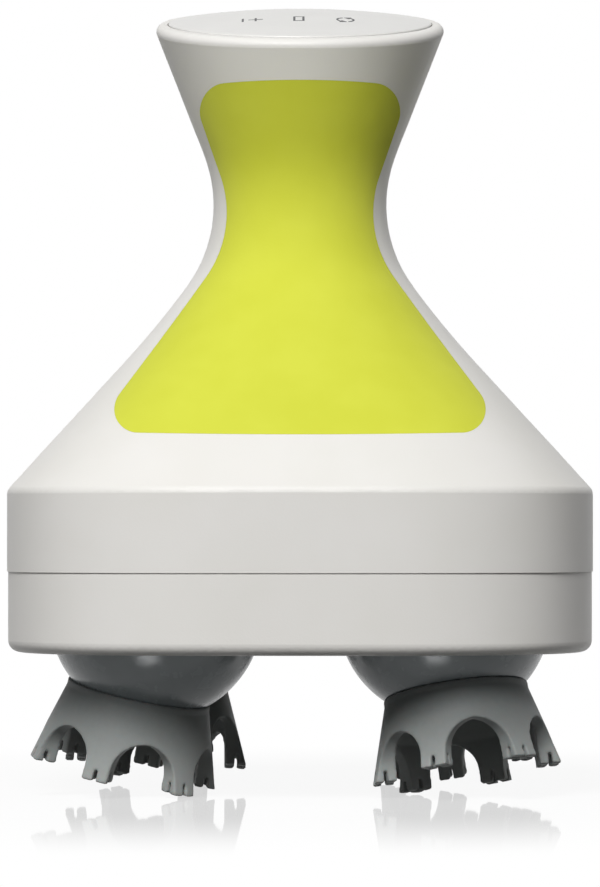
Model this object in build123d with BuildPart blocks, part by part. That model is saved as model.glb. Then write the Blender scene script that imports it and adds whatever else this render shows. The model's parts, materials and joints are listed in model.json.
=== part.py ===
from build123d import *
import os
from math import acos, atan2, ceil, cos, degrees, pi, radians, sin, sqrt, tan

# An electric scalp massager: a waisted housing whose motor turns four tilted
# silicone claws. Millimetres. The origin is on the floor under the middle of
# the base, +Z is up, and the control plate slants towards the front, at -Y.

# Housing form: half-widths from the middle, heights above the floor
base_half = 52.0
base_squareness = 3.2
base_bottom_z = 25.0
base_edge_round = 2.0
seam_z = 39.0
seam_gap = 0.2
seam_setback = 0.2
shoulder_round = 1.6
slope_lean = 41.9
flare_curve_r = 168.0
flare_lean = 36.2
neck_r = 15.5
neck_z = 104.6
neck_curve_r = 24.6
collar_lean = 21.4
collar_height = 32.3
rim_tilt = 10.8
rim_round = 1.3
round_section_half = 18.0
loft_step = 5.0

# How far a cutter runs past what it cuts, joined forms reach into each other,
# and a bore runs past the tip of its screw
spare = 1.0
overlap = 0.5
tip_room = 0.5

# Housing walls and joints
wall = 2.2
floor_thickness = 2.4
lip_thickness = 1.0
lip_length = 2.4
lip_gap = 0.1
gasket_setback = 0.22

# Grip panels
panel_thickness = 1.2
panel_edge_gap = 0.02
panel_back_gap = 0.06
panel_top_drop = 11.5
panel_waist_drop = 1.8
panel_bottom_rise = 9.4
panel_top_crown = 0.5
panel_bottom_crown = 0.6
panel_waist_half = 13.03
panel_waist_r = 20.0
panel_lower_lean = 35.2
panel_upper_lean = 19.2
panel_corner_r = 4.5

# Control deck: heights are along the slanted axis, measured from the rim plane
plate_r = 23.65
plate_gap = 0.2
plate_edge_top = 0.3
plate_crown = 1.8
plate_underside = -1.4
plate_edge_round = 0.3
pocket_floor = -3.2
shelf_thickness = 2.0
shelf_hole_r = 19.5
frame_top = -2.2
frame_skirt_r = 19.2
frame_skirt_wall = 1.0
frame_outer_gap = 0.4
pin_depth = -2.9
pin_r = 0.8
post_inner = 14.6
post_outer = 18.6
post_width = 4.4
post_top = -1.9
lug_inner = 11.9
lug_outer = 13.9
lug_width = 3.2
lug_end = -4.3
actuator_x = 12.0
actuator_r = 2.0
actuator_end = -3.0
board_top = -5.9
board_thickness = 1.2
board_r = 18.9
mat_thickness = 0.8
mat_length = 33.0
mat_width = 18.0
mat_corner_r = 4.0
dome_r = 4.5
dome_top = -3.3
dome_wall = 0.7
switch_size = 4.6
switch_height = 1.6
switch_key_r = 1.2
switch_key_height = 0.2
light_forward = 7.0
light_r = 1.2
light_height = 1.4
frame_screw_r = 0.8
frame_screw_head_r = 1.4
frame_screw_length = 3.6
frame_screw_circle_r = 21.2
board_screw_r = 0.7
board_screw_head_r = 1.4
board_screw_head = 0.8
board_screw_length = 2.9

# Power: battery, cradle, motor
motor_r = 12.15
motor_base_z = 56.5
motor_can_length = 28.5
motor_cap_length = 2.5
motor_boss_r = 3.5
motor_boss_length = 2.0
motor_shaft_r = 1.0
motor_shaft_low_z = 49.8
motor_shaft_depth = 8.0
motor_screw_spread = 8.5
motor_screw_r = 1.2
motor_screw_head_r = 1.9
motor_screw_head = 1.2
motor_screw_depth = 3.0
terminal_x = 11.6
terminal_thickness = 0.6
terminal_width = 2.0
terminal_height = 1.6
cradle_base = 2.0
cradle_skirt_length = 7.0
cradle_skirt_wall = 1.2
cradle_gap = 0.15
cradle_wall = 1.4
cradle_share = 0.83
cradle_opening = 17.0
cell_r = 9.2
cell_room = 4.8
cell_edge_round = 0.6
cell_cap_r = 3.2
tab_thickness = 0.3
tab_width = 5.0
lead_r = 0.6

# Leads: each stop on the way up is a height from the neck and two set-offs. For
# the charge leads these are a share of the socket's spread and a distance from
# the wall. The ends are set-offs too, but for the charge leads' plain place.
motor_lead_stops = [(-4.0, 0.0, 0.4), (13.0, 1.6, 0.0)]
motor_lead_end = 2.0
battery_lead_stops = [(-2.0, 0.5, 0.0), (11.0, 0.0, 0.4)]
battery_lead_end = 1.5
charge_lead_stops = [(-20.0, 0.8, 2.0), (-9.0, 0.6, 1.6), (2.0, 0.4, 1.1), (14.0, 0.6, 3.9)]
charge_lead_clearance = 1.5
charge_lead_end_y = 14.8

# Chassis: plates, pillars and screws
plate_disc_r = 41.5
bearing_plate_z = 36.0
bearing_plate_thickness = 2.5
motor_plate_z = 54.0
motor_plate_thickness = 2.5
pillar_circle_r = 38.0
pillar_r = 3.0
floor_post_r = 3.6
screw_r = 1.5
screw_gap = 0.1
screw_head_r = 2.6
screw_head = 1.7
screw_head_sink = 0.4
recess_length_share = 1.2
recess_width_share = 0.28
chassis_screw_reach = 46.0
plate_screw_length = 7.0
housing_screw_inset = 7.3
housing_screw_y = 12.0
housing_post_r = 3.4
housing_boss_top_z = 64.0
housing_screw_reach = 48.0

# Gears: teeth, modules in mm, profile shifts in modules
pressure = radians(20)
backlash = 0.12
tip_relief = 0.1
motor_teeth = 10
idler_teeth = 60
motor_module = 0.5
idler_small_teeth = 10
sun_large_teeth = 40
idler_module = 0.7
sun_teeth = 51
output_teeth = 38
output_module = 0.8
pinion_shift = 0.4
output_gear_z = 39.2
output_gear_width = 5.2
idler_mesh_z = 46.0
idler_mesh_width = 3.0
motor_mesh_z = 50.0
motor_mesh_width = 3.0
sun_axle_r = 2.0
sun_axle_top_z = 49.3
sun_axle_collar = 1.2
sun_axle_head = 1.0
sun_hub_r = 5.0
idler_pin_r = 1.5
idler_pin_low_z = 45.3
idler_pin_head_r = 2.6
idler_hub_r = 3.0
axle_head_thickness = 0.5
running_gap = 0.05
fixed_gap = 0.02

# Heads: ball hub, claw and spindle, with lengths along the tilted claw axis
head_z = 32.0
head_tilt = 13.5
head_turns = {"fl": 151.0, "fr": -55.0, "rl": -100.0, "rr": 35.0}
claw_steps = {"fl": 0, "fr": 2, "rl": 0, "rr": 0}
key_sides = 18
ball_r = 18.7
ball_top_z = 35.0
ball_wall = 2.2
ball_gap = 0.4
ball_boss_r = 6.5
ball_hollow_low_z = 21.5
opening_edge_round = 0.5
collar_along = 14.0
claw_length = 14.85
claw_collar_r = 12.3
claw_toe_r = 16.6
claw_gap = 0.1
claw_bead = 0.35
claw_bead_length = 1.4
claw_roof = 2.6
claw_wall = 1.8
claw_corner = 1.0
claw_toe_thickness = 3.8
claw_legs = 6
leg_turn = -43.0
leg_half = 2.35
leg_flare_r = 5.2
arch_height = 7.7
slit_width = 0.6
slit_depth = 2.0
claw_screw_r = 1.4
claw_screw_head_r = 2.8
claw_screw_head = 1.5
claw_screw_tip = 7.5
spindle_r = 2.5
spindle_low_z = 27.6
spindle_flange_r = 3.6
spindle_flange = 0.8
spindle_flange_lift = 0.2
bush_wall = 1.45
bush_flange = 1.0
bush_flange_thickness = 0.4
seal_r = 5.0
seal_inner_gap = 0.3
seal_thickness = 0.5

# Charging
socket_z = 46.2
socket_width = 8.9
socket_height = 3.2
socket_length = 7.0
socket_wall = 0.3
socket_tongue_width = 6.6
socket_tongue = 0.7
socket_back = 1.0
socket_gap = 0.1
socket_pad_width = 17.0
socket_pad_height = 9.0
socket_pad_depth = 2.4
plug_width = 13.0
plug_height = 6.4
plug_thickness = 1.6
plug_corner_r = 1.4
plug_gap = 0.2
plug_stem_width = 7.2
plug_stem_height = 1.5
plug_stem_length = 1.0
plug_pin_r = 0.5
plug_pin_length = 0.8

# Circuit board parts: x, y, length, width and height of each block
board_blocks = [
    (-6.5, 6.5, 6.0, 6.0, 1.0),
    (7.0, 7.0, 4.4, 4.4, 1.9),
    (0.0, 11.0, 3.0, 1.6, 0.8),
    (-10.5, -2.5, 2.0, 1.2, 0.6),
    (-10.5, -5.0, 2.0, 1.2, 0.6),
    (10.5, -2.5, 2.0, 1.2, 0.6),
]
capacitor_spots = [(-6.0, -7.0), (6.0, -7.0)]
capacitor_r = 1.6
capacitor_height = 1.8

# Places that follow from the sizes
gear_distance = (sun_teeth + output_teeth) * output_module / 2
head_offset = gear_distance / sqrt(2)
head_signs = {"fl": (-1, -1), "fr": (1, -1), "rl": (-1, 1), "rr": (1, 1)}
head_spots = [(head_offset * x, head_offset * y) for x, y in head_signs.values()]
idler_y = (idler_small_teeth + sun_large_teeth) * idler_module / 2
pillar_spots = [(pillar_circle_r * x, pillar_circle_r * y) for x, y in ((1, 0), (0, 1), (-1, 0), (0, -1))]
housing_screw_spots = [
    (x * (base_half - housing_screw_inset), y * housing_screw_y) for x in (-1, 1) for y in (-1, 1)
]
bearing_plate_top = bearing_plate_z + bearing_plate_thickness
motor_plate_top = motor_plate_z + motor_plate_thickness
floor_top_z = base_bottom_z + floor_thickness
screw_seat_z = base_bottom_z + screw_head_sink + screw_head
lower_half = base_half - seam_setback
lower_top_z = seam_z - seam_gap / 2
upper_low_z = seam_z + seam_gap / 2

# Profile of the housing: a straight slope, a long flare, a round neck and a straight collar
slope = radians(slope_lean)
flare = radians(flare_lean)
collar = radians(collar_lean)
neck_centre_r = neck_r + neck_curve_r
flare_end_z = neck_z - neck_curve_r * sin(flare)
flare_centre_z = flare_end_z + flare_curve_r * sin(flare)
flare_centre_r = neck_centre_r + (flare_curve_r - neck_curve_r) * cos(flare)
slope_end_z = flare_centre_z - flare_curve_r * sin(slope)
slope_end_r = flare_centre_r - flare_curve_r * cos(slope)
collar_start_z = neck_z + neck_curve_r * sin(collar)
collar_start_r = neck_centre_r - neck_curve_r * cos(collar)
shoulder_z = slope_end_z - (base_half - slope_end_r) / tan(slope)
rim_z = neck_z + collar_height
panel_top_z = rim_z - panel_top_drop
panel_waist_z = neck_z - panel_waist_drop
panel_bottom_z = shoulder_z + panel_bottom_rise


def form_half(z, inset=0.0):
    """Half-width of the housing at a height, set in by inset square to its profile."""
    if z < slope_end_z:
        return slope_end_r + (slope_end_z - z) * tan(slope) - inset / cos(slope)
    if z > collar_start_z:
        return collar_start_r + (z - collar_start_z) * tan(collar) - inset / cos(collar)
    if z < flare_end_z:
        reach = sqrt(flare_curve_r**2 - (z - flare_centre_z) ** 2)
        return flare_centre_r - reach - inset * flare_curve_r / reach
    reach = sqrt(neck_curve_r**2 - (z - neck_z) ** 2)
    return neck_centre_r - reach - inset * neck_curve_r / reach


def cavity_half(z):
    """Half-width of the hollow inside the wall at a height."""
    if z < shoulder_z:
        return base_half - wall
    return form_half(z, wall)


def form_squareness(z):
    """Exponent of the section at a height: square-ish at the base, round above."""
    share = (form_half(z) - round_section_half) / (base_half - round_section_half)
    share = min(max(share, 0.0), 1.0)
    return 2 + (base_squareness - 2) * share**2 * (3 - 2 * share)


def squircle(half, exponent, count=24):
    """Points round a superellipse."""
    points = []
    for i in range(count):
        turn = 2 * pi * i / count
        reach = half / (abs(cos(turn)) ** exponent + abs(sin(turn)) ** exponent) ** (1 / exponent)
        points.append((reach * cos(turn), reach * sin(turn)))
    return points


def housing_form(inset, low_z, high_z):
    """The housing's solid form between two heights, set in by inset."""
    steps = ceil((high_z - low_z) / loft_step)
    with BuildPart() as form:
        for i in range(steps + 1):
            z = low_z + (high_z - low_z) * i / steps
            with BuildSketch(Plane.XY.offset(z)):
                with BuildLine():
                    Spline(*squircle(form_half(z, inset), form_squareness(z)), periodic=True)
                make_face()
        loft()
    return form


def base_prism(half, low_z, high_z):
    """A straight prism with the base's outline."""
    with BuildPart() as prism:
        with BuildSketch(Plane.XY.offset(low_z)):
            with BuildLine():
                Spline(*squircle(half, base_squareness), periodic=True)
            make_face()
        extrude(amount=high_z - low_z)
    return prism


def round_bars(radius, low_z, high_z, spots=((0, 0),)):
    """Upright round bars, one at each spot."""
    with BuildPart() as bars:
        with BuildSketch(Plane.XY.offset(low_z)):
            with Locations(*spots):
                Circle(radius)
        extrude(amount=high_z - low_z)
    return bars


def bores(radius, low_z, high_z, spots=((0, 0),)):
    """Cutters for upright holes, one at each spot, a little longer than the holes."""
    return round_bars(radius, low_z - spare, high_z + spare, spots)


def screws(radius, head_radius, head_low_z, head_high_z, tip_z, spots):
    """Upright screws with a cross recess, driven from the head's side towards tip_z."""
    up = tip_z > head_high_z
    face_z = head_low_z if up else head_high_z
    seat_z = head_high_z if up else head_low_z
    inward = 1 if up else -1
    with BuildPart() as group:
        for x, y in spots:
            with BuildSketch(Plane.XY.offset(face_z)):
                with Locations((x, y)):
                    Circle(head_radius)
            extrude(amount=seat_z - face_z)
            with BuildSketch(Plane.XY.offset(seat_z)):
                with Locations((x, y)):
                    Circle(radius)
            extrude(amount=tip_z - seat_z)
        with BuildSketch(Plane.XY.offset(face_z)):
            with Locations(*spots):
                Rectangle(head_radius * recess_length_share, head_radius * recess_width_share)
                Rectangle(head_radius * recess_width_share, head_radius * recess_length_share)
        extrude(amount=inward * abs(seat_z - face_z) / 2, mode=Mode.SUBTRACT)
    return group


def save(builder, name):
    builder.part.label = name
    export_step(builder.part, f"parts/{name}.step")


os.makedirs("parts", exist_ok=True)

# Planes of the slanted deck. The plate's middle is the middle of the rim.
tilt = radians(rim_tilt)
rim_plane = Plane(origin=(0, 0, rim_z), x_dir=(1, 0, 0), z_dir=(0, -sin(tilt), cos(tilt)))
lean_product = tan(collar) * tan(tilt)
rim_half = form_half(rim_z)
rim_shift = (rim_half / (1 - lean_product) - rim_half / (1 + lean_product)) / 2 / cos(tilt)
deck = Plane(origin=rim_plane.from_local_coords((0, rim_shift, 0)), x_dir=(1, 0, 0), z_dir=rim_plane.z_dir)
deck_side = Plane(origin=deck.origin, x_dir=deck.x_dir, z_dir=deck.y_dir * -1)
deck_axis = Axis(deck.origin, deck.z_dir)
pin_plane = Plane(
    origin=deck.from_local_coords((0, 0, pin_depth)), x_dir=deck.x_dir, z_dir=deck.y_dir
)
pocket_r = plate_r + plate_gap
shelf_low = pocket_floor - shelf_thickness
frame_screw_spots = [
    (frame_screw_circle_r * cos(radians(a)), frame_screw_circle_r * sin(radians(a))) for a in (30, 150, 270)
]
board_low = board_top - board_thickness
board_screw_y = (post_inner + post_outer) / 2


def board_under(x, y):
    """Point just under the circuit board, above a place in plan."""
    on_board = deck.offset(board_low)
    z = on_board.origin.Z + (y - on_board.origin.Y) * tan(tilt)
    return (x, y, z - lead_r * tan(tilt) - fixed_gap)


# ---------------------------------------------------------------- grip panels

def panel_outline(grow):
    """Outline of a grip panel in the XZ plane, grown by grow, as a closed wire."""
    lower = radians(panel_lower_lean)
    upper = radians(panel_upper_lean)
    centre_x = panel_waist_half + panel_waist_r
    low_x = centre_x - panel_waist_r * cos(lower)
    low_z = panel_waist_z - panel_waist_r * sin(lower)
    high_x = centre_x - panel_waist_r * cos(upper)
    high_z = panel_waist_z + panel_waist_r * sin(upper)
    top_z = panel_top_z - panel_top_crown
    top_x = high_x + (top_z - high_z) * tan(upper)
    bottom_z = panel_bottom_z + panel_bottom_crown
    bottom_x = low_x + (low_z - bottom_z) * tan(lower)
    with BuildSketch(Plane.XZ) as outline:
        with BuildLine():
            ThreePointArc((-bottom_x, bottom_z), (0, panel_bottom_z), (bottom_x, bottom_z))
            Line((bottom_x, bottom_z), (low_x, low_z))
            ThreePointArc((low_x, low_z), (panel_waist_half, panel_waist_z), (high_x, high_z))
            Line((high_x, high_z), (top_x, top_z))
            ThreePointArc((top_x, top_z), (0, panel_top_z), (-top_x, top_z))
            Line((-top_x, top_z), (-high_x, high_z))
            ThreePointArc((-high_x, high_z), (-panel_waist_half, panel_waist_z), (-low_x, low_z))
            Line((-low_x, low_z), (-bottom_x, bottom_z))
        make_face()
        rows = outline.vertices().group_by(Axis.Y)
        fillet(rows[0] + rows[-1], panel_corner_r)
        if grow:
            offset(amount=grow)
    return outline


outer_form = housing_form(0, shoulder_z, rim_z + rim_half * tan(tilt) + spare)


def panel_block(depth, grow):
    """Everything in front of a surface set in by depth, inside the panel outline."""
    with BuildPart() as block:
        with BuildSketch(Plane.XZ):
            add(panel_outline(grow).sketch)
        extrude(amount=base_half)
        add(housing_form(depth, panel_bottom_z - loft_step, panel_top_z + loft_step).part, mode=Mode.SUBTRACT)
    return block


with BuildPart() as front_grip_panel:
    add(panel_block(panel_thickness, 0).part)
    add(outer_form.part, mode=Mode.INTERSECT)
save(front_grip_panel, "front_grip_panel")

with BuildPart() as rear_grip_panel:
    mirror(front_grip_panel.part, about=Plane.XZ)
save(rear_grip_panel, "rear_grip_panel")

# ------------------------------------------------------------- upper housing

with BuildPart() as cavity:
    add(housing_form(wall, shoulder_z - overlap, rim_z + spare).part)
    split(bisect_by=deck.offset(shelf_low), keep=Keep.BOTTOM)
    add(base_prism(base_half - wall, upper_low_z - spare, shoulder_z).part)

with BuildPart() as boss_form:
    add(housing_form(wall / 2, shoulder_z - overlap, housing_boss_top_z).part)
    add(base_prism(base_half - wall / 2, seam_z, shoulder_z).part)

with BuildPart() as screw_bosses:
    add(round_bars(housing_post_r, seam_z, housing_boss_top_z, housing_screw_spots).part)
    add(boss_form.part, mode=Mode.INTERSECT)
    add(bores(screw_r + fixed_gap, seam_z, housing_screw_reach, housing_screw_spots).part, mode=Mode.SUBTRACT)

with BuildPart() as panel_pockets:
    add(panel_block(panel_thickness + panel_back_gap, panel_edge_gap).part)
    mirror(about=Plane.XZ)

# The plug's bed is sunk in the band at the back. Its hinge pins lie in the bed's side walls.
bed_y = base_half - plug_thickness - plug_gap
plug_pin_y = base_half - plug_thickness / 2
plug_pin_z = socket_z - plug_height / 2 + plug_thickness / 2
bed_plane = Plane(origin=(0, bed_y, socket_z), x_dir=(-1, 0, 0), z_dir=(0, 1, 0))
plug_pin_plane = Plane(origin=(0, plug_pin_y, plug_pin_z), x_dir=(0, 1, 0), z_dir=(1, 0, 0))

with BuildPart() as upper_housing:
    add(base_prism(base_half, upper_low_z, shoulder_z).part)
    add(outer_form.part)
    shoulder_edges = upper_housing.edges().filter_by(lambda e: abs(e.center().Z - shoulder_z) < 0.2)
    fillet(shoulder_edges, shoulder_round)
    split(bisect_by=rim_plane, keep=Keep.BOTTOM)
    fillet(upper_housing.faces().sort_by(Axis.Z)[-1].edges(), rim_round)
    add(cavity.part, mode=Mode.SUBTRACT)
    add(panel_pockets.part, mode=Mode.SUBTRACT)
    # The control plate's bed, the hole in its shelf and the frame's screw holes
    with BuildSketch(deck.offset(pocket_floor)):
        Circle(pocket_r)
    extrude(amount=spare - pocket_floor, mode=Mode.SUBTRACT)
    with BuildSketch(deck.offset(pocket_floor + spare)):
        Circle(shelf_hole_r)
        with Locations(*frame_screw_spots):
            Circle(frame_screw_r + fixed_gap)
    extrude(amount=-shelf_thickness - 2 * spare, mode=Mode.SUBTRACT)
    add(screw_bosses.part)
    # The lip that drops inside the lower housing, on a ledge under the wall
    add(base_prism(base_half - wall / 2, upper_low_z, upper_low_z + lip_thickness).part)
    add(base_prism(lower_half - wall - lip_gap, upper_low_z - lip_length, upper_low_z + lip_thickness).part)
    add(
        base_prism(
            lower_half - wall - lip_gap - lip_thickness,
            upper_low_z - lip_length - spare,
            upper_low_z + lip_thickness + spare,
        ).part,
        mode=Mode.SUBTRACT,
    )
    # The charging bed at the back: a pad inside the wall, then the bed, the socket hole and the pin holes
    with BuildSketch(Plane(origin=(0, base_half - wall / 2, socket_z), x_dir=(-1, 0, 0), z_dir=(0, 1, 0))):
        Rectangle(socket_pad_width, socket_pad_height)
    extrude(amount=-socket_pad_depth - wall / 2)
    with BuildSketch(bed_plane):
        Rectangle(plug_width + 2 * plug_gap, plug_height + 2 * plug_gap)
    extrude(amount=plug_thickness + plug_gap + spare, mode=Mode.SUBTRACT)
    with BuildSketch(bed_plane):
        Rectangle(socket_width + 2 * socket_gap, socket_height + 2 * socket_gap)
    extrude(amount=-socket_length, mode=Mode.SUBTRACT)
    with BuildSketch(plug_pin_plane):
        Circle(plug_pin_r + running_gap)
    extrude(amount=plug_width / 2 + plug_gap + plug_pin_length, both=True, mode=Mode.SUBTRACT)
save(upper_housing, "upper_housing")

# ------------------------------------------------------------- lower housing

with BuildPart() as lower_housing:
    add(base_prism(lower_half, base_bottom_z, lower_top_z).part)
    fillet(lower_housing.faces().sort_by(Axis.Z)[0].edges(), base_edge_round)
    add(base_prism(lower_half - wall, floor_top_z, lower_top_z + spare).part, mode=Mode.SUBTRACT)
    add(round_bars(housing_post_r, floor_top_z - overlap, seam_z, housing_screw_spots).part)
    add(round_bars(floor_post_r, floor_top_z - overlap, bearing_plate_z, pillar_spots).part)
    with Locations(*[(x, y, head_z) for x, y in head_spots]):
        Sphere(ball_r + ball_gap, mode=Mode.SUBTRACT)
    underside = lower_housing.faces().filter_by(Axis.Z).sort_by(Axis.Z)[0]
    opening_edges = underside.inner_wires().edges()
    fillet(opening_edges, opening_edge_round)
    for spots in (housing_screw_spots, pillar_spots):
        sink_low_z = base_bottom_z - spare
        add(round_bars(screw_head_r + screw_gap, sink_low_z, screw_seat_z, spots).part, mode=Mode.SUBTRACT)
        add(bores(screw_r + screw_gap, base_bottom_z, seam_z, spots).part, mode=Mode.SUBTRACT)
save(lower_housing, "lower_housing")

with BuildPart() as housing_gasket:
    add(base_prism(base_half - gasket_setback, lower_top_z, upper_low_z).part)
    add(base_prism(lower_half - wall, lower_top_z - spare, upper_low_z + spare).part, mode=Mode.SUBTRACT)
save(housing_gasket, "housing_gasket")

housing_screws = screws(
    screw_r, screw_head_r, screw_seat_z - screw_head, screw_seat_z, housing_screw_reach, housing_screw_spots
)
save(housing_screws, "housing_screws")
chassis_screws = screws(
    screw_r, screw_head_r, screw_seat_z - screw_head, screw_seat_z, chassis_screw_reach, pillar_spots
)
save(chassis_screws, "chassis_screws")

# -------------------------------------------------------------- control deck

with BuildPart() as control_plate:
    with BuildSketch(deck_side):
        with BuildLine():
            Polyline(
                (0, plate_crown + plate_edge_top),
                (0, plate_underside),
                (plate_r, plate_underside),
                (plate_r, plate_edge_top),
            )
            ThreePointArc(
                (plate_r, plate_edge_top),
                (plate_r / 2, plate_edge_top + plate_crown * 3 / 4),
                (0, plate_edge_top + plate_crown),
            )
        make_face()
    revolve(axis=deck_axis)
    circles = control_plate.edges().filter_by(GeomType.CIRCLE)
    rims = circles.filter_by(lambda e: e.radius < plate_r + plate_gap)
    fillet(rims.sort_by(deck_axis)[-1], plate_edge_round)
    with BuildSketch(deck.offset(plate_underside)):
        with Locations((-actuator_x, 0), (actuator_x, 0)):
            Circle(actuator_r)
    extrude(amount=actuator_end - plate_underside)
    with BuildSketch(deck.offset(plate_underside)):
        lug_y = (lug_inner + lug_outer) / 2
        with Locations((0, -lug_y), (0, lug_y)):
            Rectangle(lug_width, lug_outer - lug_inner)
    extrude(amount=lug_end - plate_underside)
    with BuildSketch(pin_plane):
        Circle(pin_r + running_gap)
    extrude(amount=plate_r, both=True, mode=Mode.SUBTRACT)
save(control_plate, "control_plate")

with BuildPart() as control_frame:
    with BuildSketch(deck.offset(pocket_floor)):
        Circle(pocket_r - frame_outer_gap)
        Circle(frame_skirt_r - frame_skirt_wall, mode=Mode.SUBTRACT)
    extrude(amount=frame_top - pocket_floor)
    with BuildSketch(deck.offset(board_top)):
        Circle(frame_skirt_r)
        Circle(frame_skirt_r - frame_skirt_wall, mode=Mode.SUBTRACT)
    extrude(amount=frame_top - board_top)
    with BuildSketch(deck.offset(board_top)):
        with Locations((0, -board_screw_y), (0, board_screw_y)):
            Rectangle(post_width, post_outer - post_inner)
    extrude(amount=post_top - board_top)
    with BuildSketch(pin_plane):
        Circle(pin_r + fixed_gap)
    extrude(amount=post_outer, both=True, mode=Mode.SUBTRACT)
    with BuildSketch(deck.offset(board_top)):
        with Locations((0, -board_screw_y), (0, board_screw_y)):
            Circle(board_screw_r + fixed_gap)
    extrude(amount=board_screw_length - board_thickness, mode=Mode.SUBTRACT)
    with Locations(*[deck.offset(frame_top).location * Location((x, y, 0)) for x, y in frame_screw_spots]):
        CounterSinkHole(frame_screw_r + screw_gap, frame_screw_head_r + screw_gap, depth=frame_screw_length)
save(control_frame, "control_frame")

with BuildPart() as rocker_pins:
    for side in (-1, 1):
        with BuildSketch(pin_plane.offset(side * (lug_inner - plate_gap))):
            Circle(pin_r)
        extrude(amount=side * (post_outer - lug_inner))
save(rocker_pins, "rocker_pins")

with BuildPart() as frame_screws:
    head_depth = frame_screw_head_r - frame_screw_r
    for x, y in frame_screw_spots:
        with BuildSketch(deck.offset(frame_top)):
            with Locations((x, y)):
                Circle(frame_screw_head_r)
        extrude(amount=-head_depth, taper=45)
        with BuildSketch(deck.offset(frame_top - head_depth)):
            with Locations((x, y)):
                Circle(frame_screw_r)
        extrude(amount=head_depth - frame_screw_length)
save(frame_screws, "frame_screws")

with BuildPart() as key_mat:
    with BuildSketch(deck.offset(board_top)):
        RectangleRounded(mat_length, mat_width, mat_corner_r)
        with Locations((0, -light_forward)):
            Circle(light_r + plate_gap, mode=Mode.SUBTRACT)
    extrude(amount=mat_thickness)
    with BuildSketch(deck.offset(board_top)):
        with Locations((-actuator_x, 0), (actuator_x, 0)):
            Circle(dome_r)
    extrude(amount=dome_top - board_top, taper=6)
    with BuildSketch(deck.offset(board_top)):
        with Locations((-actuator_x, 0), (actuator_x, 0)):
            Circle(dome_r - dome_wall)
    extrude(amount=dome_top - dome_wall - board_top, mode=Mode.SUBTRACT)
save(key_mat, "key_mat")

with BuildPart() as circuit_board:
    with BuildSketch(deck.offset(board_low)):
        Circle(board_r)
        with Locations((0, -board_screw_y), (0, board_screw_y)):
            Circle(board_screw_r + screw_gap, mode=Mode.SUBTRACT)
    extrude(amount=board_thickness)
save(circuit_board, "circuit_board")

with BuildPart() as board_screws:
    with BuildSketch(deck.offset(board_low)):
        with Locations((0, -board_screw_y), (0, board_screw_y)):
            Circle(board_screw_head_r)
    extrude(amount=-board_screw_head)
    with BuildSketch(deck.offset(board_low)):
        with Locations((0, -board_screw_y), (0, board_screw_y)):
            Circle(board_screw_r)
    extrude(amount=board_screw_length)
save(board_screws, "board_screws")

with BuildPart() as tact_switches:
    with BuildSketch(deck.offset(board_top)):
        with Locations((-actuator_x, 0), (actuator_x, 0)):
            Rectangle(switch_size, switch_size)
    extrude(amount=switch_height)
    with BuildSketch(deck.offset(board_top + switch_height)):
        with Locations((-actuator_x, 0), (actuator_x, 0)):
            Circle(switch_key_r)
    extrude(amount=switch_key_height)
save(tact_switches, "tact_switches")

with BuildPart() as battery_light:
    with BuildSketch(deck.offset(board_top)):
        with Locations((0, -light_forward)):
            Circle(light_r)
    extrude(amount=light_height)
save(battery_light, "battery_light")

with BuildPart() as board_components:
    for x, y, length, width, height in board_blocks:
        with BuildSketch(deck.offset(board_low)):
            with Locations((x, y)):
                Rectangle(length, width)
        extrude(amount=-height)
    with BuildSketch(deck.offset(board_low)):
        with Locations(*capacitor_spots):
            Circle(capacitor_r)
    extrude(amount=-capacitor_height)
save(board_components, "board_components")

# ------------------------------------------------------------ battery, motor

motor_cap_z = motor_base_z + motor_can_length
motor_top_z = motor_cap_z + motor_cap_length
cradle_floor_z = motor_top_z + cradle_base
cell_z = cradle_floor_z + tab_thickness
cell_top_z = board_under(0, 0)[2] - cell_room
terminal_spots = [(-terminal_x, 0), (terminal_x, 0)]
motor_screw_spots = [(-motor_screw_spread, 0), (motor_screw_spread, 0)]

with BuildPart() as motor:
    add(round_bars(motor_r, motor_base_z, motor_cap_z).part)
    fillet(motor.edges().sort_by(Axis.Z)[0], cell_edge_round)
    add(round_bars(motor_boss_r, motor_base_z - motor_boss_length, motor_base_z).part)
    add(
        round_bars(
            motor_shaft_r + running_gap,
            motor_base_z - motor_boss_length - spare,
            motor_base_z + motor_shaft_depth + running_gap,
        ).part,
        mode=Mode.SUBTRACT,
    )
    tip_z = motor_base_z + motor_screw_depth
    add(bores(motor_screw_r + fixed_gap, motor_base_z, tip_z, motor_screw_spots).part, mode=Mode.SUBTRACT)
save(motor, "motor")

with BuildPart() as motor_end_cap:
    add(round_bars(motor_r, motor_cap_z, motor_top_z).part)
    with BuildSketch(Plane.XY.offset(motor_top_z)):
        with Locations(*terminal_spots):
            Rectangle(terminal_thickness, terminal_width)
    extrude(amount=terminal_height)
save(motor_end_cap, "motor_end_cap")

motor_screws = screws(
    motor_screw_r,
    motor_screw_head_r,
    motor_plate_z - motor_screw_head,
    motor_plate_z,
    motor_base_z + motor_screw_depth,
    motor_screw_spots,
)
save(motor_screws, "motor_screws")

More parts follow.
